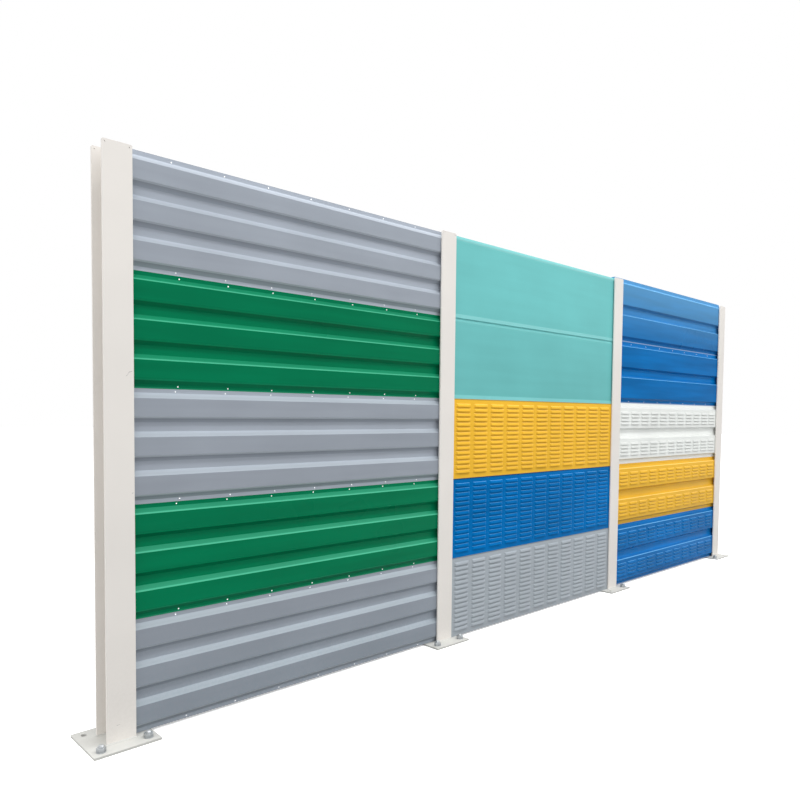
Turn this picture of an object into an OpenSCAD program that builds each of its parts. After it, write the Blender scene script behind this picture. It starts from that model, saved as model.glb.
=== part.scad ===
// Noise barrier wall of three bays: steel posts on base plates, with stacked cassette panels between them.
// Millimetres, +Z up. The origin is the centre of the underside of the first base plate.
// +X runs along the wall, the faced side looks to -Y.

/* [Bays] */
// Distance from post centre to post centre
bay_pitch = 2000; // [1600:10:2600]
// How far a post top stands above the panels of the first two bays
post_rise = 4; // [2:1:40]

/* [Post section] */
// Width of the flanges, along the wall
flange_w = 125; // [110:1:150]
// Depth over both flanges
section_d = 125; // [122:1:150]
// Flange thickness
flange_t = 9; // [6:0.5:9]
// Web thickness
web_t = 6.5; // [5:0.5:10]
// Radius where web and flange meet
root_r = 8; // [4:1:12]
// Radius on the top corners of the flanges
corner_r = 7; // [4:1:18]
// Diameter of the small holes near the post top
top_hole_d = 5; // [4:1:9]
// Distance of those holes below the post top
top_hole_drop = 12; // [12:1:30]
// Distance of those holes from the flange edge
top_hole_edge = 12; // [12:1:25]

/* [Base plate] */
// Side of the square plate
plate_w = 285; // [260:5:320]
// Plate thickness
plate_t = 10; // [8:1:20]
// Corner chamfer of the plate
plate_cut = 3; // [2:1:35]
// Distance from an anchor hole to the plate edge
anchor_edge = 42.5; // [36:0.5:46]
// Diameter of the anchor holes
anchor_d = 24; // [18:1:26]

/* [Panels] */
// Height of one panel in the first two bays
panel_h = 500; // [400:0.5:520]
// How much higher one panel of the last bay is
end_panel_extra = 3.5; // [0:0.5:8]
// Clearance between a panel and each post flange
side_gap = 3.5; // [2:0.5:8]
// Gap between the panel end and the post web
end_gap = 5; // [3:0.5:12]
// Sheet thickness
sheet_t = 1.2; // [0.8:0.1:1.5]
// Outside radius of the bends in the face sheets
bend_r = 3; // [2:0.5:5]
// Width of the tongue along the top of a panel
tongue_w = 30; // [20:1:40]
// Height of the tongue
tongue_h = 7; // [6:1:12]
// Clearance between tongue and groove on each side
tongue_gap = 1.5; // [1:0.5:3]
// How much the tray lips are shorter than the flat edge in front of them
lip_short = 2; // [1:0.5:6]
// Height of each stiffening bead in the back sheet
bead_h = 60; // [40:1:80]
// Depth of the stiffening beads
bead_d = 4; // [2:0.5:6]

/* [Three ridge face] */
// Depth from ridge to valley
rib3_d = 22; // [16:1:26]
// Height of the flat edge at the top and the bottom
rib3_edge = 18; // [16:1:26]
// Height of a sloping side
rib3_slope = 24; // [18:1:28]
// Height of a valley
rib3_valley = 40; // [30:1:50]

/* [Two ridge face] */
// Depth from ridge to valley
rib2_d = 22; // [16:1:26]
// Height of the flat edge at the top and the bottom
rib2_edge = 25; // [18:1:32]
// Height of a sloping side
rib2_slope = 16; // [14:1:24]
// Height of the valley
rib2_valley = 56; // [40:1:66]

/* [Flat face] */
// Height of the tilted strips at the top and the bottom
strip_h = 25; // [18:1:35]
// How far each strip leaves the flat of the face
strip_d = 4; // [2:0.5:5]

/* [Louvres] */
// Columns of louvres on a panel
louvre_cols = 11; // [6:1:11]
// Distance from the panel end to the first louvre
louvre_side = 86; // [60:1:120]
// Gap between two columns
louvre_gap = 31.5; // [20:0.5:50]
// Share of the row spacing that a hood takes up
hood_share = 0.64; // [0.5:0.01:0.72]
// How far a hood stands out
hood_d = 7; // [5:0.5:8]
// Length over which each end of a hood rises
hood_end = 14; // [6:1:24]
// Rows on a flat face
flat_rows = 15; // [8:1:15]
// Distance of the first opening below the top of a flat face
flat_first = 50; // [46:1:60]
// Distance of the last opening above the bottom of a flat face
flat_last = 34; // [24:1:50]
// Rows on each ridge of a two ridge face
ridge_rows = 4; // [2:1:4]
// Distance of the first opening below the top of a ridge
ridge_first = 48; // [40:1:56]
// Distance of the last opening above the bottom of a ridge
ridge_last = 31; // [20:1:40]

/* [Hidden] */
$fn = 48;
panels_up = 5;
post_h = panels_up * panel_h + post_rise;
end_panel_h = panel_h + end_panel_extra;
anchor_pitch = plate_w - 2 * anchor_edge;
panel_d = section_d - 2 * flange_t - 2 * side_gap;
front_y = -panel_d / 2;
back_y = panel_d / 2;
panel_l = bay_pitch - web_t - 2 * end_gap;
arc_steps = 3;
off_white = "#E3DFDA";
grey = "#969DA8";
green = "#0B7349";
teal = "#72C2C0";
yellow = "#F0B62D";
blue = "#1C70B9";
silver = "#A0A8AF";
white = "#ECEEEB";
// Kind of face in each bay
kinds = ["three ridges", "flat", "two ridges"];
// Panels with louvres, from the bottom up
louvred = [
    [false, false, false, false, false],
    [true, true, true, false, false],
    [true, true, true, false, false]
];
paints = [
    [grey, green, grey, green, grey],
    [silver, blue, yellow, teal, teal],
    [blue, yellow, white, blue, blue]
];

function unit(v) = v / norm(v);
function right_of(d) = [d[1], -d[0]];
function along(p, i) = unit(p[i + 1] - p[i]);

// Shift of corner i when the path moves by t to its right, level at both ends
function corner_shift(p, i, t) =
    i == 0 ? [t / along(p, 0)[1], 0] :
    i == len(p) - 1 ? [t / along(p, i - 1)[1], 0] :
    let (a = right_of(along(p, i - 1)), b = right_of(along(p, i)))
    t * (a + b) / (1 + a * b);

function moved(p, t) = [for (i = [0 : len(p) - 1]) p[i] + corner_shift(p, i, t)];

function turn(v, a) = [v[0] * cos(a) - v[1] * sin(a), v[0] * sin(a) + v[1] * cos(a)];

// Points of one bend of radius r around corner i of a path
function bend(p, i, r) =
    let (
        a = along(p, i - 1),
        b = along(p, i),
        turned = a[0] * b[1] - a[1] * b[0],
        side = turned > 0 ? 1 : -1,
        angle = atan2(turned, a * b),
        run = r * tan(abs(angle) / 2),
        centre = p[i] - a * run - side * r * right_of(a),
        arm = side * r * right_of(a)
    )
    abs(angle) < 1 ? [p[i]] :
    [for (k = [0 : arc_steps]) centre + turn(arm, angle * k / arc_steps)];

function bent(p, r) = [
    for (i = [0 : len(p) - 1])
        if (i == 0 || i == len(p) - 1) p[i]
        else for (q = bend(p, i, r)) q
];

function reversed(p) = [for (i = [len(p) - 1 : -1 : 0]) p[i]];

// Outer skin of a ridged face, from the bottom up
function ridged(n, h, d, edge, slope, valley) =
    let (
        ridge = (h - 2 * edge - 2 * n * slope - (n - 1) * valley) / n,
        step = ridge + 2 * slope + valley
    )
    [
        [front_y + d, 0],
        for (i = [0 : n - 1]) each [
            [front_y + d, edge + i * step],
            [front_y, edge + i * step + slope],
            [front_y, edge + i * step + slope + ridge],
            [front_y + d, edge + i * step + 2 * slope + ridge]
        ],
        [front_y + d, h]
    ];

function plain_flat(h) = [
    [front_y, 0],
    [front_y + strip_d, strip_h],
    [front_y + strip_d, h - strip_h],
    [front_y + 2 * strip_d, h]
];

function face_path(kind, h, open) =
    kind == "three ridges" ? ridged(3, h, rib3_d, rib3_edge, rib3_slope, rib3_valley) :
    kind == "two ridges" ? ridged(2, h, rib2_d, rib2_edge, rib2_slope, rib2_valley) :
    open ? [[front_y, 0], [front_y, h]] : plain_flat(h);

function skin(kind, h, open) = bent(face_path(kind, h, open), bend_r);

function lip_h(kind) =
    kind == "three ridges" ? rib3_edge - lip_short :
    kind == "two ridges" ? rib2_edge - lip_short : strip_h - lip_short;

// Ridges of the two ridge face: their height, and the top of ridge i
function ridge_height(h) = (h - 2 * rib2_edge - 4 * rib2_slope - rib2_valley) / 2;
function ridge_top(h, i) = rib2_edge + rib2_slope + ridge_height(h)
    + i * (ridge_height(h) + 2 * rib2_slope + rib2_valley);

// Row spacing of the louvres, and the heights of their openings
function row_pitch(kind, h) =
    kind == "two ridges" ? (ridge_height(h) - ridge_first - ridge_last) / (ridge_rows - 1) :
    (h - flat_first - flat_last) / (flat_rows - 1);
function openings(kind, h) =
    kind == "two ridges" ?
    [for (i = [0, 1]) for (k = [0 : ridge_rows - 1]) ridge_top(h, i) - ridge_first - k * row_pitch(kind, h)] :
    [for (k = [0 : flat_rows - 1]) h - flat_first - k * row_pitch(kind, h)];

// Louvre length that fills the panel between its two side margins
louvre_l = (panel_l - 2 * louvre_side - (louvre_cols - 1) * louvre_gap) / louvre_cols;

// Outer curve of a hood whose lip is at z, moved in by t
function hood_curve(z, high, t) = [
    for (k = [0 : arc_steps + 1])
        let (a = 90 * k / (arc_steps + 1))
        [front_y + t - hood_d * sin(a), z - t + high * cos(a)]
];

// Draws a (y, z) section along the wall
module run_along(length) {
    rotate([90, 0, 90])
        linear_extrude(length)
            children();
}

module sheet_section(kind, h, open) {
    outer = skin(kind, h, open);
    polygon(concat(outer, reversed(moved(outer, sheet_t))));
}

module hoods(rows, high) {
    for (z = rows)
        polygon(concat(
            hood_curve(z, high, 0),
            [[front_y + sheet_t / 2, z], [front_y + sheet_t / 2, z + high]]
        ));
}

module hood_voids(rows, high) {
    for (z = rows)
        polygon(concat(
            hood_curve(z, high, sheet_t),
            [[front_y, z - sheet_t], [front_y, z], [front_y + 2 * sheet_t, z],
             [front_y + 2 * sheet_t, z + high - sheet_t]]
        ));
}

// Plan of all columns, each with slanting ends, moved in by t
module louvre_plan(t) {
    inset = t * sqrt(hood_d * hood_d + hood_end * hood_end) / hood_d;
    for (c = [0 : louvre_cols - 1])
        translate([louvre_side + c * (louvre_l + louvre_gap), front_y])
            polygon([
                [inset, 3 * sheet_t], [inset, 0], [inset + hood_end, -hood_d],
                [louvre_l - inset - hood_end, -hood_d], [louvre_l - inset, 0], [louvre_l - inset, 3 * sheet_t]
            ]);
}

module face_sheet(kind, h, open) {
    rows = openings(kind, h);
    high = hood_share * row_pitch(kind, h);
    difference() {
        union() {
            run_along(panel_l)
                sheet_section(kind, h, open);
            if (open)
                intersection() {
                    run_along(panel_l)
                        hoods(rows, high);
                    linear_extrude(h)
                        louvre_plan(0);
                }
        }
        if (open)
            intersection() {
                run_along(panel_l)
                    hood_voids(rows, high);
                linear_extrude(h)
                    louvre_plan(sheet_t);
            }
    }
}

function lip_y(kind, h, open) = moved(face_path(kind, h, open), sheet_t);

function cap_outline(kind, h, open) =
    let (
        inner = moved(skin(kind, h, open), sheet_t),
        half = tongue_w / 2,
        groove = half + tongue_gap
    )
    concat(inner, [
        [-half, h], [-half, h + tongue_h], [half, h + tongue_h], [half, h],
        [back_y, h], [back_y, 0],
        [groove, 0], [groove, tongue_h + tongue_gap], [-groove, tongue_h + tongue_gap], [-groove, 0]
    ]);

// Skin of the tray from the front lip at the bottom, round the back, to the front lip at the top
function tray_path(kind, h, open) =
    let (
        face = lip_y(kind, h, open),
        last = len(face) - 1,
        half = tongue_w / 2,
        groove = half + tongue_gap,
        low = tongue_h + tongue_gap,
        at = (h - 2 * bead_h) / 3
    )
    [
        face[0] + lip_h(kind) * along(face, 0), face[0],
        [-groove, 0], [-groove, low], [groove, low], [groove, 0],
        [back_y, 0],
        [back_y, at], [back_y - bead_d, at + bead_d],
        [back_y - bead_d, at + bead_h - bead_d], [back_y, at + bead_h],
        [back_y, 2 * at + bead_h], [back_y - bead_d, 2 * at + bead_h + bead_d],
        [back_y - bead_d, 2 * at + 2 * bead_h - bead_d], [back_y, 2 * at + 2 * bead_h],
        [back_y, h],
        [half, h], [half, h + tongue_h], [-half, h + tongue_h], [-half, h],
        face[last], face[last] - lip_h(kind) * along(face, last - 1)
    ];

module tray(kind, h, open) {
    outer = tray_path(kind, h, open);
    run_along(panel_l)
        polygon(concat(outer, reversed(moved(outer, -sheet_t))));
    for (x = [0, panel_l - sheet_t])
        translate([x, 0, 0])
            run_along(sheet_t)
                polygon(cap_outline(kind, h, open));
}

module post(i) {
    hw = flange_w / 2;
    hd = section_d / 2;
    inner = hd - flange_t;
    color(off_white)
        translate([(i - 1) * bay_pitch, 0, plate_t])
            difference() {
                linear_extrude(post_h)
                    difference() {
                        square([flange_w, section_d], center = true);
                        for (s = [-1, 1])
                            translate([s * (web_t / 2 + hw), 0])
                                web_pocket(hw * 2, inner);
                    }
                for (s = [-1, 1])
                    translate([s * (hw - top_hole_edge), 0, post_h - top_hole_drop])
                        rotate([90, 0, 0])
                            cylinder(h = section_d + 4, d = top_hole_d, center = true);
                for (s = [-1, 1])
                    translate([s * (hw - corner_r), 0, post_h - corner_r])
                        corner_cut(s);
            }
}

// Space between the flanges, with round roots along the web
module web_pocket(w, inner) {
    difference() {
        square([w, 2 * inner], center = true);
        for (sx = [-1, 1])
            for (sy = [-1, 1])
                translate([sx * (w / 2 - root_r), sy * (inner - root_r)])
                    difference() {
                        translate([sx * root_r / 2, sy * root_r / 2])
                            square(root_r + 0.001, center = true);
                        circle(r = root_r);
                    }
    }
}

module corner_cut(s) {
    rotate([90, 0, 0])
        linear_extrude(section_d + 4, center = true)
            difference() {
                translate([s * (corner_r + 1) / 2, (corner_r + 1) / 2])
                    square(corner_r + 1, center = true);
                circle(r = corner_r);
            }
}

module base_plate(i) {
    h = plate_w / 2;
    c = plate_cut;
    color(off_white)
        translate([(i - 1) * bay_pitch, 0, 0])
            linear_extrude(plate_t)
                difference() {
                    polygon([
                        [-h + c, -h], [h - c, -h], [h, -h + c], [h, h - c],
                        [h - c, h], [-h + c, h], [-h, h - c], [-h, -h + c]
                    ]);
                    for (sx = [-1, 1])
                        for (sy = [-1, 1])
                            translate([sx * anchor_pitch / 2, sy * anchor_pitch / 2])
                                circle(d = anchor_d);
                }
}

function bay_height(b) = b == 3 ? end_panel_h : panel_h;

module in_place(b, k) {
    translate([(b - 1) * bay_pitch + web_t / 2 + end_gap, 0, plate_t + (k - 1) * bay_height(b)])
        children();
}

module front(b, k) {
    color(paints[b - 1][k - 1])
        in_place(b, k)
            face_sheet(kinds[b - 1], bay_height(b), louvred[b - 1][k - 1]);
}

module back(b, k) {
    color(paints[b - 1][k - 1])
        in_place(b, k)
            tray(kinds[b - 1], bay_height(b), louvred[b - 1][k - 1]);
}

post(1);  // post_1
post(2);  // post_2
post(3);  // post_3
post(4);  // post_4
base_plate(1);  // base_plate_1
base_plate(2);  // base_plate_2
base_plate(3);  // base_plate_3
base_plate(4);  // base_plate_4
front(1, 1);  // bay_1_front_1
front(1, 2);  // bay_1_front_2
front(1, 3);  // bay_1_front_3
front(1, 4);  // bay_1_front_4
front(1, 5);  // bay_1_front_5
front(2, 1);  // bay_2_front_1
front(2, 2);  // bay_2_front_2
front(2, 3);  // bay_2_front_3
front(2, 4);  // bay_2_front_4
front(2, 5);  // bay_2_front_5
front(3, 1);  // bay_3_front_1
front(3, 2);  // bay_3_front_2
front(3, 3);  // bay_3_front_3
front(3, 4);  // bay_3_front_4
front(3, 5);  // bay_3_front_5
back(1, 1);  // bay_1_tray_1
back(1, 2);  // bay_1_tray_2
back(1, 3);  // bay_1_tray_3
back(1, 4);  // bay_1_tray_4
back(1, 5);  // bay_1_tray_5
back(2, 1);  // bay_2_tray_1
back(2, 2);  // bay_2_tray_2
back(2, 3);  // bay_2_tray_3
back(2, 4);  // bay_2_tray_4
back(2, 5);  // bay_2_tray_5
back(3, 1);  // bay_3_tray_1
back(3, 2);  // bay_3_tray_2
back(3, 3);  // bay_3_tray_3
back(3, 4);  // bay_3_tray_4
back(3, 5);  // bay_3_tray_5
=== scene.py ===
import math
import bmesh
import bpy
from mathutils import Matrix, Vector


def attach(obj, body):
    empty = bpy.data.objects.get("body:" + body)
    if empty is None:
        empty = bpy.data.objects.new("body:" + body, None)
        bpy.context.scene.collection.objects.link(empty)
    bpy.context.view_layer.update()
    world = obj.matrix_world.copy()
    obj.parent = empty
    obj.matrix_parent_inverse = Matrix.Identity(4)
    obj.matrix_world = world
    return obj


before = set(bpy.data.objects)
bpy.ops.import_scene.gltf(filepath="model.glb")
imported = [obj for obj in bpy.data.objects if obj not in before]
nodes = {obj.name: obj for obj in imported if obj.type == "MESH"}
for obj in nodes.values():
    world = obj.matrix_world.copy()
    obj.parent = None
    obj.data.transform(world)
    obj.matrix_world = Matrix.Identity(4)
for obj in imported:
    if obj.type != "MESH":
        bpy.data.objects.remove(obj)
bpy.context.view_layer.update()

MM = 0.001
POSTS = 4
BAY_PITCH = 2.0
PLATE_TOP = 10 * MM
POST_HALF = 62.5 * MM
WEB_HALF = 3.25 * MM
FLANGE_THICK = 9 * MM
ANCHOR_HALF = 100 * MM
EDGE_FRONT = -28 * MM

# Colours and heights of the panels, bay by bay from the left and from the ground up
PANEL_COLOURS = [
    ["grey", "green", "grey", "green", "grey"],
    ["flat silver", "flat blue", "flat yellow", "teal", "teal"],
    ["blue", "yellow", "white", "blue", "blue"],
]
PANEL_HEIGHTS = [500 * MM, 500 * MM, 503.5 * MM]

# Heights, depths and upward shares of a face at which tones of the paint, its dust and its painted light,
# shade and sky reflection begin and end
FADE_TOP = 2.4
# Heights over which the painted sky reflection grows
SKY_REFLECTION_HEIGHTS = (1.9, 2.7)
# Heights over which the painted light and shade on the upward slopes change
SLOPE_SHADING_HEIGHTS = (0.3, 2.3)
DUST_TOP = 0.55
OUTER_BEND = -44 * MM
FRONT_SIDE = -20 * MM
LIP_REACH = 7.5 * MM
SLOPE_SHADING_BLEND = 0.23
# Upward shares over which the painted highlight on the outer bends grows
BEND_HIGHLIGHT_SLOPES = (0.5, 0.62)
# Upward shares and strength of the painted light on the lower side of the bends
UNDER_SLOPES = (-0.5, -0.3)
UNDER_AMOUNT = 0.85
# Colour of the dark line at the top joint of a front panel
JOINT_LINE = "#20303A"
# The pale blue of the painted sky reflection
SKY_REFLECTION_COLOUR = "#ACEBFF"


# Materials
def linear(hex_colour):
    """sRGB hex value as a linear colour."""
    h = hex_colour.lstrip("#")
    out = []
    for i in (0, 2, 4):
        c = int(h[i:i + 2], 16) / 255
        out.append(c / 12.92 if c <= 0.04045 else ((c + 0.055) / 1.055) ** 2.4)
    return (*out, 1.0)


def add(tree, kind, settings=None, **inputs):
    """Adds a node, with its settings and with values or links for its inputs."""
    made = tree.nodes.new(kind)
    for name, value in (settings or {}).items():
        setattr(made, name, value)
    for name, value in inputs.items():
        key = int(name[2:]) if name.startswith("in") and name[2:].isdigit() else name.replace("_", " ")
        socket = made.inputs[key]
        if isinstance(value, bpy.types.NodeSocket):
            tree.links.new(value, socket)
        else:
            socket.default_value = value
    return made


def new_material(name):
    mat = bpy.data.materials.new(name)
    mat.use_nodes = True
    mat.node_tree.nodes.clear()
    return mat, mat.node_tree


def coated_steel(name, colour, rough, peel, peel_mm=14, gloss=0.12, shade=0.05, streaks=0.0,
                 dust="#8E8A80", dust_amount=0.12, fade=0.0, valley_light=0.0, valley_from=-42.0,
                 valley_to=-30.0, slope_shading=0.0, slope_shading_low=0.0, slope_shading_colour="#CFE0E4", slope_shading_from=0.42,
                 bend_highlight=0.0, bend_highlight_colour="#FFFFFF", under=None, sky_reflection=0.0, pitch=0.5, lip_light=0.0,
                 lip_light_colour="#D6E0EC", lip_mm=17.0, lip_depth=-27.5, seam=0.0, seam_mm=7.0):
    """Paint over steel: faint broad shading, fine peel in the gloss, thin dust low down on each part.

    streaks is the uneven tone along the sheet, fade darkens it toward the ground, and valley_light is
    painted light on the sheltered parts of the front between two depths. slope_shading and
    slope_shading_low are painted light and shade on the slopes that face the sky, at the top and at the
    ground, from the upward share slope_shading_from of the face's direction; a low value below zero keeps
    the painted tone off all but the top.
    bend_highlight is a painted highlight on the upper side of the outer bends, and under is the colour of
    painted light on the same bends on their lower side. sky_reflection is a painted reflection of the
    sky, paler toward the top. lip_light is painted light on the lowest strip of each front panel of the
    given pitch, near lip_depth, and seam darkens its topmost one to a dark line at the joint.
    """
    mat, tree = new_material(name)
    place = add(tree, "ShaderNodeTexCoord").outputs["Object"]
    spot = add(tree, "ShaderNodeSeparateXYZ", Vector=place)
    height, depth = spot.outputs["Z"], spot.outputs["Y"]
    normal = add(tree, "ShaderNodeNewGeometry").outputs["Normal"]
    up = add(tree, "ShaderNodeSeparateXYZ", Vector=normal).outputs["Z"]

    broad = add(tree, "ShaderNodeTexNoise", Vector=place, Scale=1.7, Detail=3.0, Roughness=0.55)
    level = add(tree, "ShaderNodeMapRange", Value=broad.outputs["Fac"], From_Min=0.3, From_Max=0.7,
                To_Min=1 - shade, To_Max=1 + shade)
    if streaks:
        long_way = add(tree, "ShaderNodeMapping", Vector=place, Scale=(0.35, 1.0, 5.0))
        wavy = add(tree, "ShaderNodeTexNoise", Vector=long_way.outputs[0], Scale=3.2, Detail=2.0,
                   Roughness=0.5)
        uneven = add(tree, "ShaderNodeMapRange", Value=wavy.outputs["Fac"], From_Min=0.35, From_Max=0.65,
                     To_Min=1 - streaks, To_Max=1 + streaks)
        level = add(tree, "ShaderNodeMath", {"operation": "MULTIPLY"}, in0=level.outputs[0],
                    in1=uneven.outputs[0])
    if fade:
        lower = add(tree, "ShaderNodeMapRange", Value=height, From_Max=FADE_TOP, To_Min=1 - fade,
                    To_Max=1.0)
        level = add(tree, "ShaderNodeMath", {"operation": "MULTIPLY"}, in0=level.outputs[0],
                    in1=lower.outputs[0])
    # Painted light in the valleys and grooves at the front, between two depths
    if valley_light:
        deep = add(tree, "ShaderNodeMapRange", Value=depth, From_Min=valley_from * MM,
                   From_Max=valley_to * MM, To_Max=valley_light)
        front = add(tree, "ShaderNodeMath", {"operation": "LESS_THAN"}, in0=depth, in1=FRONT_SIDE)
        gain = add(tree, "ShaderNodeMath", {"operation": "MULTIPLY_ADD"}, in0=deep.outputs[0],
                   in1=front.outputs[0], in2=1.0)
        level = add(tree, "ShaderNodeMath", {"operation": "MULTIPLY"}, in0=level.outputs[0],
                    in1=gain.outputs[0])
    plain = add(tree, "ShaderNodeHueSaturation", Color=linear(colour), Value=level.outputs[0])
    tone = plain.outputs["Color"]

    if lip_light or seam:
        risen = add(tree, "ShaderNodeMath", {"operation": "SUBTRACT"}, in0=height, in1=PLATE_TOP)
        in_panel = add(tree, "ShaderNodeMath", {"operation": "MODULO"}, in0=risen.outputs[0], in1=pitch)
    # Painted light on the lowest strip of each front panel
    if lip_light:
        lowest = add(tree, "ShaderNodeMath", {"operation": "LESS_THAN"}, in0=in_panel.outputs[0],
                     in1=lip_mm * MM)
        edge = add(tree, "ShaderNodeMath", {"operation": "COMPARE"}, in0=depth, in1=lip_depth * MM,
                   in2=LIP_REACH)
        both = add(tree, "ShaderNodeMath", {"operation": "MULTIPLY"}, in0=lowest.outputs[0],
                   in1=edge.outputs[0])
        amount = add(tree, "ShaderNodeMath", {"operation": "MULTIPLY"}, in0=both.outputs[0], in1=lip_light)
        tone = add(tree, "ShaderNodeMix", {"data_type": "RGBA"}, in0=amount.outputs[0], in6=tone,
                   in7=linear(lip_light_colour)).outputs[2]
    # A dark line on the topmost strip of each front panel, at the joint
    if seam:
        topmost = add(tree, "ShaderNodeMath", {"operation": "GREATER_THAN"}, in0=in_panel.outputs[0],
                      in1=pitch - seam_mm * MM)
        front = add(tree, "ShaderNodeMath", {"operation": "LESS_THAN"}, in0=depth, in1=FRONT_SIDE)
        both = add(tree, "ShaderNodeMath", {"operation": "MULTIPLY"}, in0=topmost.outputs[0],
                   in1=front.outputs[0])
        amount = add(tree, "ShaderNodeMath", {"operation": "MULTIPLY"}, in0=both.outputs[0], in1=seam)
        tone = add(tree, "ShaderNodeMix", {"data_type": "RGBA"}, in0=amount.outputs[0], in6=tone,
                   in7=linear(JOINT_LINE)).outputs[2]
    # Painted light and shade on the faces that turn up to the sky, changing with height
    if slope_shading or slope_shading_low:
        facing = add(tree, "ShaderNodeMapRange", Value=up, From_Min=slope_shading_from,
                     From_Max=slope_shading_from + SLOPE_SHADING_BLEND)
        high = add(tree, "ShaderNodeMapRange", Value=height, From_Min=SLOPE_SHADING_HEIGHTS[0],
                   From_Max=SLOPE_SHADING_HEIGHTS[1], To_Min=slope_shading_low, To_Max=slope_shading)
        amount = add(tree, "ShaderNodeMath", {"operation": "MULTIPLY"}, in0=facing.outputs[0],
                     in1=high.outputs[0])
        tone = add(tree, "ShaderNodeMix", {"data_type": "RGBA"}, in0=amount.outputs[0], in6=tone,
                   in7=linear(slope_shading_colour)).outputs[2]
    # A painted highlight on the upper side of the outer bends
    if bend_highlight:
        facing = add(tree, "ShaderNodeMapRange", Value=up, From_Min=BEND_HIGHLIGHT_SLOPES[0],
                     From_Max=BEND_HIGHLIGHT_SLOPES[1], To_Max=bend_highlight)
        outer = add(tree, "ShaderNodeMath", {"operation": "LESS_THAN"}, in0=depth, in1=OUTER_BEND)
        amount = add(tree, "ShaderNodeMath", {"operation": "MULTIPLY"}, in0=facing.outputs[0],
                     in1=outer.outputs[0])
        tone = add(tree, "ShaderNodeMix", {"data_type": "RGBA"}, in0=amount.outputs[0], in6=tone,
                   in7=linear(bend_highlight_colour)).outputs[2]
    # Painted light on the lower side of the outer bends, which lifts their shade
    if under:
        facing = add(tree, "ShaderNodeMapRange", Value=up, From_Min=UNDER_SLOPES[0],
                     From_Max=UNDER_SLOPES[1], To_Min=UNDER_AMOUNT, To_Max=0.0)
        outer = add(tree, "ShaderNodeMath", {"operation": "LESS_THAN"}, in0=depth, in1=OUTER_BEND)
        amount = add(tree, "ShaderNodeMath", {"operation": "MULTIPLY"}, in0=facing.outputs[0],
                     in1=outer.outputs[0])
        tone = add(tree, "ShaderNodeMix", {"data_type": "RGBA"}, in0=amount.outputs[0], in6=tone,
                   in7=linear(under)).outputs[2]
    # A painted reflection of the pale sky, growing toward the top
    if sky_reflection:
        amount = add(tree, "ShaderNodeMapRange", {"interpolation_type": "SMOOTHSTEP"}, Value=height,
                     From_Min=SKY_REFLECTION_HEIGHTS[0], From_Max=SKY_REFLECTION_HEIGHTS[1], To_Max=sky_reflection)
        tone = add(tree, "ShaderNodeMix", {"data_type": "RGBA"}, in0=amount.outputs[0], in6=tone,
                   in7=linear(SKY_REFLECTION_COLOUR)).outputs[2]
    if dust_amount:
        speckle = add(tree, "ShaderNodeTexNoise", Vector=place, Scale=90.0, Detail=4.0, Roughness=0.7)
        grain = add(tree, "ShaderNodeMapRange", Value=speckle.outputs["Fac"], From_Min=0.35, From_Max=0.75)
        near_ground = add(tree, "ShaderNodeMapRange", Value=height, From_Max=DUST_TOP,
                          To_Min=dust_amount, To_Max=0.0)
        amount = add(tree, "ShaderNodeMath", {"operation": "MULTIPLY"}, in0=grain.outputs[0],
                     in1=near_ground.outputs[0])
        tone = add(tree, "ShaderNodeMix", {"data_type": "RGBA"}, in0=amount.outputs[0], in6=tone,
                   in7=linear(dust)).outputs[2]

    waves = add(tree, "ShaderNodeTexNoise", Vector=place, Scale=1000 / peel_mm, Detail=2.0, Roughness=0.5)
    bump = add(tree, "ShaderNodeBump", Strength=peel, Distance=0.0004, Height=waves.outputs["Fac"])
    dull = add(tree, "ShaderNodeMapRange", Value=broad.outputs["Fac"], From_Min=0.3, From_Max=0.7,
               To_Min=rough - 0.04, To_Max=rough + 0.05)
    surface = add(tree, "ShaderNodeBsdfPrincipled", Base_Color=tone, Roughness=dull.outputs[0], IOR=1.5,
                  Specular_IOR_Level=gloss, Normal=bump.outputs["Normal"])
    add(tree, "ShaderNodeOutputMaterial", Surface=surface.outputs[0])
    return mat


def bare_metal(name, colour, rough, grain_mm, wear=0.08, metallic=1.0, flank_shade=None):
    """Bare or plated metal with a fine uneven grain; flank_shade is a painted shade on the sides, which are
    darker than the tops.
    """
    mat, tree = new_material(name)
    place = add(tree, "ShaderNodeTexCoord").outputs["Object"]
    grain = add(tree, "ShaderNodeTexNoise", Vector=place, Scale=1000 / grain_mm, Detail=3.0)
    dull = add(tree, "ShaderNodeMapRange", Value=grain.outputs["Fac"], From_Min=0.3, From_Max=0.7,
               To_Min=rough - wear, To_Max=rough + wear)
    bump = add(tree, "ShaderNodeBump", Strength=0.2, Distance=0.0003, Height=grain.outputs["Fac"])
    surface = add(tree, "ShaderNodeBsdfPrincipled", Base_Color=linear(colour), Metallic=metallic,
                  Roughness=dull.outputs[0], Normal=bump.outputs["Normal"])
    # Painted shade on the sides and undersides, away from the sky
    if flank_shade:
        normal = add(tree, "ShaderNodeNewGeometry").outputs["Normal"]
        facing = add(tree, "ShaderNodeSeparateXYZ", Vector=normal)
        skyward = add(tree, "ShaderNodeMapRange", Value=facing.outputs["Z"], From_Min=0.35, From_Max=0.8)
        tone = add(tree, "ShaderNodeMix", {"data_type": "RGBA"}, in0=skyward.outputs[0],
                   in6=linear(flank_shade), in7=linear(colour))
        tree.links.new(tone.outputs[2], surface.inputs["Base Color"])
    add(tree, "ShaderNodeOutputMaterial", Surface=surface.outputs[0])
    return mat
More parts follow.
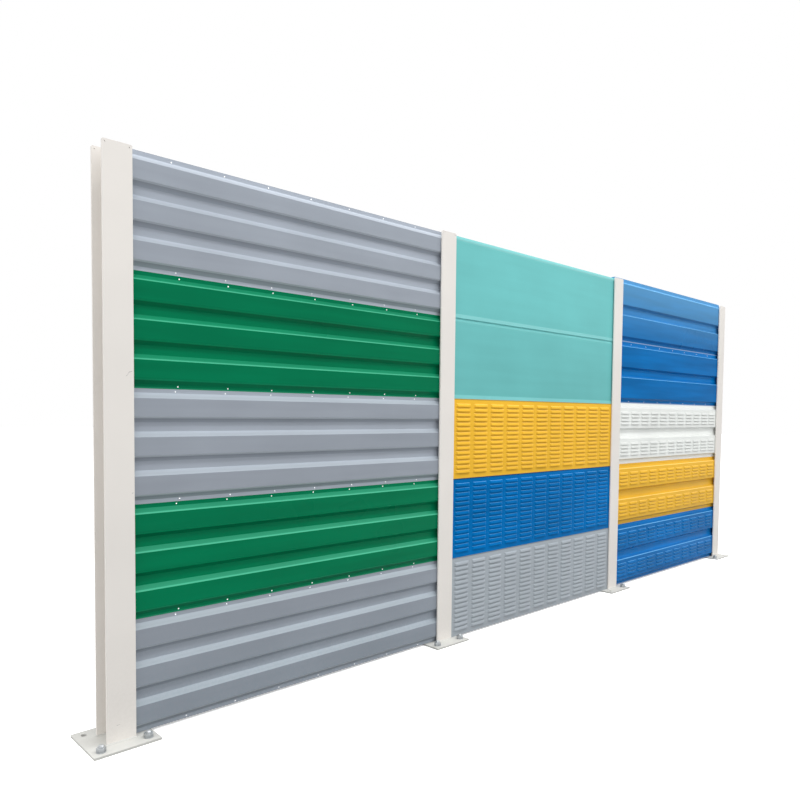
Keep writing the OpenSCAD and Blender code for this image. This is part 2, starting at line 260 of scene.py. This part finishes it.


# Polyester coil coating on galvanised sheet: smooth, an even colour, a soft sheen; the light and shade on
# its valleys, slopes, bends and lips and the sky reflection toward the top are painted
FINISHES = {
    "grey": dict(colour="#989FA9", rough=0.38, peel=0.10, streaks=0.03, dust="#748B95", dust_amount=0.35,
                 fade=0.20, valley_light=0.25, slope_shading=0.05, slope_shading_low=0.17, under="#BDC5CD", lip_light=0.28),
    "green": dict(colour="#00704A", rough=0.30, peel=0.06, gloss=0.04, streaks=0.06, valley_light=0.10,
                  slope_shading=0.08, slope_shading_low=0.40, slope_shading_colour="#45AE8C", bend_highlight=0.4, bend_highlight_colour="#5CC8A4",
                  under="#0A9A68", lip_light=0.5, lip_light_colour="#2C9C74", lip_mm=7),
    "teal": dict(colour="#6FC0BF", rough=0.42, peel=0.08, gloss=0.08, streaks=0.02, fade=0.38, valley_light=0.45,
                 valley_from=-45.6, valley_to=-43.0, slope_shading=0.6, slope_shading_low=-1.9,
                 slope_shading_colour="#7FA09F", slope_shading_from=0.02, lip_light=0.10, lip_light_colour="#C8FFFF", lip_mm=24,
                 lip_depth=-48),
    "yellow": dict(colour="#FBC43D", rough=0.34, peel=0.08, gloss=0.04, fade=0.28, slope_shading=0.35,
                   slope_shading_low=0.35, slope_shading_colour="#B0841C", bend_highlight=0.6, bend_highlight_colour="#FFDF90"),
    "blue": dict(colour="#0066A9", rough=0.30, peel=0.06, gloss=0.02, streaks=0.12, fade=-0.10, valley_light=0.22,
                 slope_shading=0.15, slope_shading_low=0.45, slope_shading_colour="#0A4C88", bend_highlight=0.55, bend_highlight_colour="#86CBF6",
                 sky_reflection=0.27),
    "silver": dict(colour="#A2AAB1", rough=0.42, peel=0.10),
    "white": dict(colour="#E5E8E5", rough=0.36, peel=0.08, gloss=0.06, valley_light=0.16, slope_shading=0.5,
                  slope_shading_low=0.5, slope_shading_colour="#B4B6B3", slope_shading_from=0.12),
}
coatings = {
    "grey": coated_steel("coil_coating_grey", **FINISHES["grey"]),
    "green": coated_steel("coil_coating_green", **FINISHES["green"]),
    "teal": coated_steel("coil_coating_teal", **FINISHES["teal"]),
    # The flat panels get a dark line at their top joint
    "flat yellow": coated_steel("coil_coating_yellow_flat_panel", seam=0.45, **FINISHES["yellow"]),
    "flat blue": coated_steel("coil_coating_blue_flat_panel", seam=0.75, **FINISHES["blue"]),
    "flat silver": coated_steel("coil_coating_silver_flat_panel", seam=0.45, **FINISHES["silver"]),
    "yellow": coated_steel("coil_coating_yellow", **FINISHES["yellow"]),
    # The blue and white of the last bay get painted light on their lower lips
    "blue": coated_steel("coil_coating_blue", pitch=0.5035, lip_light=0.40, lip_mm=8, **FINISHES["blue"]),
    "white": coated_steel("coil_coating_white", pitch=0.5035, lip_light=0.6, lip_light_colour="#FFFFFF",
                          **FINISHES["white"]),
}
# Sprayed polyester paint over hot-rolled steel: off-white, satin, with the peel of a thick spray coat
post_paint = coated_steel("sprayed_paint_off_white", "#E2DED9", 0.45, 0.25, peel_mm=5, gloss=0.05,
                          shade=0.03, dust="#9A9384", dust_amount=0.10)
plate_paint = coated_steel("sprayed_paint_base_plate", "#C4C4C0", 0.50, 0.45, peel_mm=5,
                           dust="#97948B", dust_amount=0.15)
# Electroplated zinc on steel fasteners, dulled outdoors: grey metal under a thin oxide film
# The nut sides get a painted shade, darker than the tops
zinc = bare_metal("zinc_plated_steel", "#C4C8CA", 0.36, 2.5, metallic=0.7, flank_shade="#A0A4A7")
# Drawn aluminium of blind rivets: brighter than the zinc, fairly smooth
rivet_metal = bare_metal("aluminium_rivet", "#F1F2F3", 0.28, 2.0, wear=0.04)
# Scuffed paint where something rubbed the post: grey, matt
scuff_grey = coated_steel("scuffed_paint_grey", "#A8A6A3", 0.7, 0.3, peel_mm=5, gloss=0.05, shade=0.15,
                          dust_amount=0.0)


def dress(name, mat):
    mesh = nodes[name].data
    if not mesh.materials:
        mesh.materials.append(mat)
    for k in range(len(mesh.materials)):
        mesh.materials[k] = mat


def paint_nodes():
    for i in range(POSTS):
        dress(f"post_{i + 1}", post_paint)
        dress(f"base_plate_{i + 1}", plate_paint)
    for bay, colours in enumerate(PANEL_COLOURS, 1):
        for level, colour in enumerate(colours, 1):
            for piece in ("front", "tray"):
                dress(f"bay_{bay}_{piece}_{level}", coatings[colour])


# Geometry node trees
def new_tree(name, sizes):
    """A node group with named inputs; sizes maps each name to (socket type, value)."""
    tree = bpy.data.node_groups.new(name, "GeometryNodeTree")
    face = tree.interface
    face.new_socket("Geometry", in_out="INPUT", socket_type="NodeSocketGeometry")
    for label, (kind, value) in sizes.items():
        made = face.new_socket(label, in_out="INPUT", socket_type=kind)
        if value is not None:
            made.default_value = value
    face.new_socket("Geometry", in_out="OUTPUT", socket_type="NodeSocketGeometry")
    return tree, tree.nodes.new("NodeGroupInput")


def close_tree(tree, geometry, mat):
    real = add(tree, "GeometryNodeRealizeInstances", Geometry=geometry)
    done = add(tree, "GeometryNodeSetMaterial", Geometry=real.outputs[0], Material=mat)
    add(tree, "NodeGroupOutput", in0=done.outputs[0])


def grown(name, points, tree, values):
    """Runs a tree on loose points and returns its result as a plain mesh object."""
    mesh = bpy.data.meshes.new(name + "_points")
    mesh.from_pydata(points, [], [])
    source = bpy.data.objects.new(name + "_source", mesh)
    bpy.context.collection.objects.link(source)
    modifier = source.modifiers.new("grow", "NODES")
    modifier.node_group = tree
    for item in tree.interface.items_tree:
        if item.in_out == "INPUT" and item.name in values:
            modifier[item.identifier] = values[item.name]
    view = bpy.context.evaluated_depsgraph_get()
    made = bpy.data.meshes.new_from_object(source.evaluated_get(view), depsgraph=view)
    source.modifiers.clear()
    bpy.data.objects.remove(source)
    made.name = name
    piece = bpy.data.objects.new(name, made)
    bpy.context.collection.objects.link(piece)
    return piece


# The drift is how far a rivet set by hand strays from its even place
RIVETS = {"Rivets in a row": 7, "Spacing": 0.248, "Drift": (0.006, 0.0, 0.0015), "Seed": 5,
          "Head radius": 3.6 * MM, "Head height": 1.6 * MM}


def rivet_tree():
    """Rows of rivets: each point starts a row along +X, with heads to -Y, set a little unevenly."""
    kinds = {"Rivets in a row": "NodeSocketInt", "Seed": "NodeSocketInt", "Drift": "NodeSocketVector"}
    tree, given = new_tree("rivet_rows", {
        label: (kinds.get(label, "NodeSocketFloat"), value) for label, value in RIVETS.items()})
    step = add(tree, "ShaderNodeCombineXYZ", X=given.outputs["Spacing"])
    row = add(tree, "GeometryNodeMeshLine", {"mode": "OFFSET"}, Count=given.outputs["Rivets in a row"],
              Offset=step.outputs[0])
    rows = add(tree, "GeometryNodeInstanceOnPoints", Points=given.outputs["Geometry"],
               Instance=row.outputs[0])
    places = add(tree, "GeometryNodeRealizeInstances", Geometry=rows.outputs[0])
    back = add(tree, "ShaderNodeVectorMath", {"operation": "SCALE"}, in0=given.outputs["Drift"],
               Scale=-1.0)
    stray = add(tree, "FunctionNodeRandomValue", {"data_type": "FLOAT_VECTOR"}, in0=back.outputs[0],
                in1=given.outputs["Drift"], Seed=given.outputs["Seed"])
    set_by_hand = add(tree, "GeometryNodeSetPosition", Geometry=places.outputs[0], Offset=stray.outputs[0])
    dome = add(tree, "GeometryNodeMeshUVSphere", Segments=16, Rings=8, Radius=1.0)
    size = add(tree, "ShaderNodeCombineXYZ", X=given.outputs["Head radius"], Y=given.outputs["Head height"],
               Z=given.outputs["Head radius"])
    head = add(tree, "GeometryNodeTransform", Geometry=dome.outputs[0], Rotation=(math.pi / 2, 0, 0))
    flat = add(tree, "GeometryNodeTransform", Geometry=head.outputs[0], Scale=size.outputs[0])
    smooth = add(tree, "GeometryNodeSetShadeSmooth", Geometry=flat.outputs[0])
    every = add(tree, "GeometryNodeInstanceOnPoints", Points=set_by_hand.outputs[0],
                Instance=smooth.outputs[0])
    close_tree(tree, every.outputs[0], rivet_metal)
    return tree


def lathe(rings, steps, radius_at=None):
    """Vertices and faces of a turned form from (radius, height) rings, closed at both ends."""
    verts, faces = [], []
    for r, z in rings:
        for k in range(steps):
            a = 2 * math.pi * k / steps
            rr, zz = radius_at(r, z, a) if radius_at else (r, z)
            verts.append((rr * math.cos(a), rr * math.sin(a), zz))
    for i in range(len(rings) - 1):
        for k in range(steps):
            a, b = i * steps + k, i * steps + (k + 1) % steps
            faces.append((a, b, b + steps, a + steps))
    faces.append(tuple(reversed(range(steps))))
    faces.append(tuple(range((len(rings) - 1) * steps, len(rings) * steps)))
    return verts, faces


# Sizes of an anchor; the sides are how many steps each turned form has round it
NUT_ACROSS = 34 * MM
NUT_HEIGHT = 18 * MM
NUT_TOP_RADIUS = NUT_ACROSS * 0.47
NUT_SIDES = 24
WASHER_RADIUS = 20 * MM
WASHER_THICK = 3 * MM
WASHER_EDGE = 0.4 * MM
WASHER_SIDES = 36
STUD_RADIUS = 11 * MM
STUD_OUT = 30 * MM
STUD_SIDES = 20
THREAD = 2.5 * MM
THREAD_DEPTH = 1.2 * MM
THREAD_END = 2 * MM
CHAMFER_ANGLE = math.radians(30)


def nut_corner(r, z, angle):
    """Six flats whose corners are cut back by the chamfer of a real nut."""
    flat = NUT_ACROSS / 2 / math.cos((angle % (math.pi / 3)) - math.pi / 6)
    if r < NUT_ACROSS / 2:
        return r, z
    drop = (flat - NUT_ACROSS / 2) * math.tan(CHAMFER_ANGLE)
    middle = WASHER_THICK + NUT_HEIGHT / 2
    return flat, z - drop if z > middle else z + drop


def anchor_mesh():
    """One washer, nut and threaded stud end, standing on z = 0."""
    mesh = bmesh.new()
    low, high = WASHER_THICK, WASHER_THICK + NUT_HEIGHT
    inner = WASHER_RADIUS - WASHER_EDGE
    washer = [(inner, 0), (WASHER_RADIUS, WASHER_EDGE), (WASHER_RADIUS, low - WASHER_EDGE), (inner, low)]
    nut = [(NUT_TOP_RADIUS, low), (NUT_ACROSS / 2, low), (NUT_ACROSS / 2, high), (NUT_TOP_RADIUS, high)]
    turns = []
    root = STUD_RADIUS - THREAD_DEPTH
    z = high - THREAD_END
    while z < STUD_OUT - THREAD_END:
        turns += [(root, z), (STUD_RADIUS, z + THREAD / 2)]
        z += THREAD
    turns += [(root, z), (root - THREAD_DEPTH, STUD_OUT)]
    parts = [lathe(washer, WASHER_SIDES), lathe(nut, NUT_SIDES, nut_corner), lathe(turns, STUD_SIDES)]
    for verts, faces in parts:
        made = [mesh.verts.new(v) for v in verts]
        for f in faces:
            mesh.faces.new([made[k] for k in f])
    bmesh.ops.recalc_face_normals(mesh, faces=mesh.faces)
    out = bpy.data.meshes.new("anchor_form")
    mesh.to_mesh(out)
    mesh.free()
    return bpy.data.objects.new("anchor_form", out)


def anchor_tree():
    """Sets one anchor on each point, each turned by its own amount."""
    tree, given = new_tree("anchor_sets", {
        "Anchor": ("NodeSocketObject", None),
        "Turn": ("NodeSocketFloat", 1.0),
    })
    form = add(tree, "GeometryNodeObjectInfo", Object=given.outputs["Anchor"])
    amount = add(tree, "FunctionNodeRandomValue", {"data_type": "FLOAT"}, in2=0.0,
                 in3=given.outputs["Turn"], Seed=7)
    turned = add(tree, "ShaderNodeCombineXYZ", Z=amount.outputs[1])
    sets = add(tree, "GeometryNodeInstanceOnPoints", Points=given.outputs["Geometry"],
               Instance=form.outputs["Geometry"], Rotation=turned.outputs[0])
    close_tree(tree, sets.outputs[0], zinc)
    return tree


# Pieces
def rivet_rows():
    """Rivets of the first bay and the plain panels of the last.

    Each row is (bay, level, mm above the panel's lower edge or, when negative, below its upper one, mm
    from the bay's post to the first rivet).
    """
    rows = [(0, 4, -11, 253), (0, 4, 13, 264), (0, 3, -13, 279), (0, 3, 11, 270), (0, 2, -12, 262),
            (0, 2, 12, 286), (0, 1, -11, 270), (0, 1, 11, 272), (0, 0, -11, 262), (0, 0, 10, 310),
            (2, 3, -17, 272), (2, 3, 14, 257)]
    points = []
    for bay, level, rise, first in rows:
        base = PLATE_TOP + level * PANEL_HEIGHTS[bay] + rise * MM
        if rise < 0:
            base += PANEL_HEIGHTS[bay]
        points.append((bay * BAY_PITCH + first * MM, EDGE_FRONT, base))
    piece = grown("rivets", points, rivet_tree(), RIVETS)
    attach(piece, "root")


def anchors():
    """Anchors on the plates; lost names the missing ones as (plate, side along X, side along Y)."""
    form = anchor_mesh()
    bpy.context.collection.objects.link(form)
    lost = {(0, -1, 1), (2, -1, -1), (3, 1, -1)}
    points = []
    for i in range(POSTS):
        for sx in (-1, 1):
            for sy in (-1, 1):
                if (i, sx, sy) not in lost:
                    points.append((i * BAY_PITCH + sx * ANCHOR_HALF, sy * ANCHOR_HALF, PLATE_TOP))
    piece = grown("anchor_nuts", points, anchor_tree(), {"Anchor": form, "Turn": 1.0})
    bpy.data.objects.remove(form)
    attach(piece, "root")


WELD_LEG = 5 * MM
WELD_STEP = 4 * MM
WELD_SWELL = 0.14
WELD_RIPPLE = 1.9
WELD_CURVE = 1.3
WELD_SIDES = 4
WELD_DEPTH = 0.5 * MM


def foot_path():
    """Points round a post's foot as (place, direction, whether it is a corner)."""
    half, web = POST_HALF, WEB_HALF
    inner = half - FLANGE_THICK
    outline = [(-half, -half), (half, -half), (half, -inner), (web, -inner), (web, inner),
               (half, inner), (half, half), (-half, half), (-half, inner), (-web, inner),
               (-web, -inner), (-half, -inner)]
    path = []
    for k in range(len(outline)):
        a, b = Vector(outline[k]), Vector(outline[(k + 1) % len(outline)])
        steps = max(1, int((b - a).length / WELD_STEP))
        for s in range(steps):
            path.append((a.lerp(b, s / steps), (b - a).normalized(), s == 0))
    return path


def outward(direction):
    return Vector((direction.y, -direction.x))


def weld_beads():
    """A small uneven fillet round the foot of each post."""
    mesh = bmesh.new()
    path = foot_path()
    for i in range(POSTS):
        shift = i * BAY_PITCH
        rings = []
        for j, (p, direction, corner) in enumerate(path):
            out = outward(direction)
            swell = WELD_LEG * (1 + WELD_SWELL * math.sin(j * WELD_RIPPLE + i))
            if corner:
                before = outward(path[j - 1][1])
                out = (before + out) / max(0.5, 1 + before.dot(out))
                swell = WELD_LEG
            ring = []
            for f in range(WELD_SIDES + 1):
                t = f / WELD_SIDES
                q = p + out * (swell * (1 - t) ** WELD_CURVE)
                ring.append(mesh.verts.new((q.x + shift, q.y, PLATE_TOP + swell * t ** WELD_CURVE)))
            base = p - out * WELD_DEPTH
            for z in (PLATE_TOP + swell, PLATE_TOP):
                ring.append(mesh.verts.new((base.x + shift, base.y, z)))
            rings.append(ring)
        for j in range(len(rings)):
            one, two = rings[j], rings[(j + 1) % len(rings)]
            for f in range(len(one)):
                g = (f + 1) % len(one)
                mesh.faces.new((one[f], one[g], two[g], two[f]))
    bmesh.ops.recalc_face_normals(mesh, faces=mesh.faces)
    made = bpy.data.meshes.new("weld_beads")
    mesh.to_mesh(made)
    mesh.free()
    made.materials.append(plate_paint)
    for p in made.polygons:
        p.use_smooth = True
    piece = bpy.data.objects.new("weld_beads", made)
    bpy.context.collection.objects.link(piece)
    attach(piece, "root")


SCUFF_LIFT = 0.1 * MM
SCUFF_TAPER = 0.45


def scuff_marks():
    """Small rub marks on the front of the first post, as flat strips of (x, z) points and a width in mm."""
    marks = [([(28, 1558), (36, 1563), (41, 1574), (56, 1579)], 2.6), ([(51, 1063), (57, 1066)], 5.0),
             ([(-22, 83), (-8, 86)], 3.0)]
    verts, faces = [], []
    front = -POST_HALF - SCUFF_LIFT
    for path, width in marks:
        start = len(verts)
        for k, (x, z) in enumerate(path):
            thin = width * (SCUFF_TAPER if k in (0, len(path) - 1) else 1.0) / 2
            verts += [(x * MM, front, (z - thin) * MM), (x * MM, front, (z + thin) * MM)]
        for k in range(len(path) - 1):
            a = start + 2 * k
            faces.append((a, a + 2, a + 3, a + 1))
    made = bpy.data.meshes.new("scuff_marks")
    made.from_pydata(verts, [], faces)
    made.materials.append(scuff_grey)
    piece = bpy.data.objects.new("scuff_marks", made)
    bpy.context.collection.objects.link(piece)
    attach(piece, "root")


# Stage
FLOOR_REACH = 60.0
FLOOR_SEEN = (0.93, 0.93, 0.93, 1)
FLOOR_BOUNCE = (0.22, 0.22, 0.22, 1)
WHITE = (1, 1, 1, 1)
FLOOR_LIFT = 0.42
SKY_LIGHT = 1.04
TOP_LIGHT = 380.0
STRIP_LIGHT = 400.0
END_LIGHT = 60.0


def backdrop_floor():
    """A wide pale floor, white to the camera and darker to the light that it sends back up."""
    mesh = bpy.data.meshes.new("floor")
    r = FLOOR_REACH
    mesh.from_pydata([(-r, -r, 0), (r, -r, 0), (r, r, 0), (-r, r, 0)], [], [(0, 1, 2, 3)])
    mat, tree = new_material("floor_pale")
    ray = add(tree, "ShaderNodeLightPath")
    seen = add(tree, "ShaderNodeMath", {"operation": "MAXIMUM"},
               in0=ray.outputs["Is Camera Ray"], in1=ray.outputs["Is Glossy Ray"])
    tone = add(tree, "ShaderNodeMix", {"data_type": "RGBA"}, in0=seen.outputs[0],
               in6=FLOOR_BOUNCE, in7=FLOOR_SEEN)
    matt = add(tree, "ShaderNodeBsdfDiffuse", Color=tone.outputs[2])
    lift = add(tree, "ShaderNodeMath", {"operation": "MULTIPLY"}, in0=seen.outputs[0], in1=FLOOR_LIFT)
    glow = add(tree, "ShaderNodeEmission", Color=WHITE, Strength=lift.outputs[0])
    both = add(tree, "ShaderNodeAddShader", in0=matt.outputs[0], in1=glow.outputs[0])
    add(tree, "ShaderNodeOutputMaterial", Surface=both.outputs[0])
    mesh.materials.append(mat)
    floor = bpy.data.objects.new("floor", mesh)
    bpy.context.collection.objects.link(floor)


def soft_light():
    """An even pale sky, a wide lamp overhead, a long strip over the row and a faint fill at its end."""
    world = bpy.data.worlds.new("studio")
    world.use_nodes = True
    tree = world.node_tree
    tree.nodes.clear()
    ray = add(tree, "ShaderNodeLightPath")
    seen = add(tree, "ShaderNodeMath", {"operation": "MAXIMUM"},
               in0=ray.outputs["Is Camera Ray"], in1=ray.outputs["Is Glossy Ray"])
    strength = add(tree, "ShaderNodeMapRange", Value=seen.outputs[0], To_Min=SKY_LIGHT, To_Max=1.0)
    glow = add(tree, "ShaderNodeBackground", Color=WHITE, Strength=strength.outputs[0])
    add(tree, "ShaderNodeOutputWorld", Surface=glow.outputs[0])
    bpy.context.scene.world = world
    lamps = [
        ("overhead", TOP_LIGHT, 11.0, 6.0, (3.0, -2.2, 7.0), (-14, 0, 0)),
        ("long_strip", STRIP_LIGHT, 20.0, 1.0, (4.5, -3.0, 7.0), (-20, 0, 0)),
        ("end_fill", END_LIGHT, 3.0, 3.0, (-5.0, -0.3, 2.0), (0, -90, 0)),
    ]
    for name, power, long, wide, place, turn in lamps:
        data = bpy.data.lights.new(name, "AREA")
        data.shape = "RECTANGLE"
        data.size, data.size_y = long, wide
        data.energy = power
        lamp = bpy.data.objects.new(name, data)
        lamp.location = place
        lamp.rotation_euler = [math.radians(angle) for angle in turn]
        bpy.context.collection.objects.link(lamp)


# The fitted view: degrees of yaw, pitch and roll, metres above the plates, pixels and mm
TURNS = (43.250, -2.533, 0.562)
EYE = (-1.1455, -2.9867, 1.3987 + PLATE_TOP)
FRAME_PIXELS = 800
FOCAL_PIXELS = 699.80
MIDDLE_ROW = 445.33
SENSOR = 36.0


def camera():
    """The photograph's view: fitted to the posts and panel joints."""
    yaw, pitch, roll = (math.radians(a) for a in TURNS)
    ahead = Vector((math.sin(yaw) * math.cos(pitch), math.cos(yaw) * math.cos(pitch), math.sin(pitch)))
    side = Vector((math.cos(yaw), -math.sin(yaw), 0))
    up = side.cross(ahead)
    right = math.cos(roll) * side + math.sin(roll) * up
    up = -math.sin(roll) * side + math.cos(roll) * up
    data = bpy.data.cameras.new("camera")
    data.sensor_width = SENSOR
    data.lens = FOCAL_PIXELS / FRAME_PIXELS * SENSOR
    data.shift_y = (MIDDLE_ROW - FRAME_PIXELS / 2) / FRAME_PIXELS
    data.clip_end = 200
    cam = bpy.data.objects.new("camera", data)
    place = Matrix((right, up, -ahead)).transposed().to_4x4()
    place.translation = EYE
    cam.matrix_world = place
    bpy.context.collection.objects.link(cam)
    bpy.context.scene.camera = cam


paint_nodes()
rivet_rows()
anchors()
weld_beads()
scuff_marks()
backdrop_floor()
soft_light()
camera()
bpy.context.scene.view_settings.view_transform = "Standard"
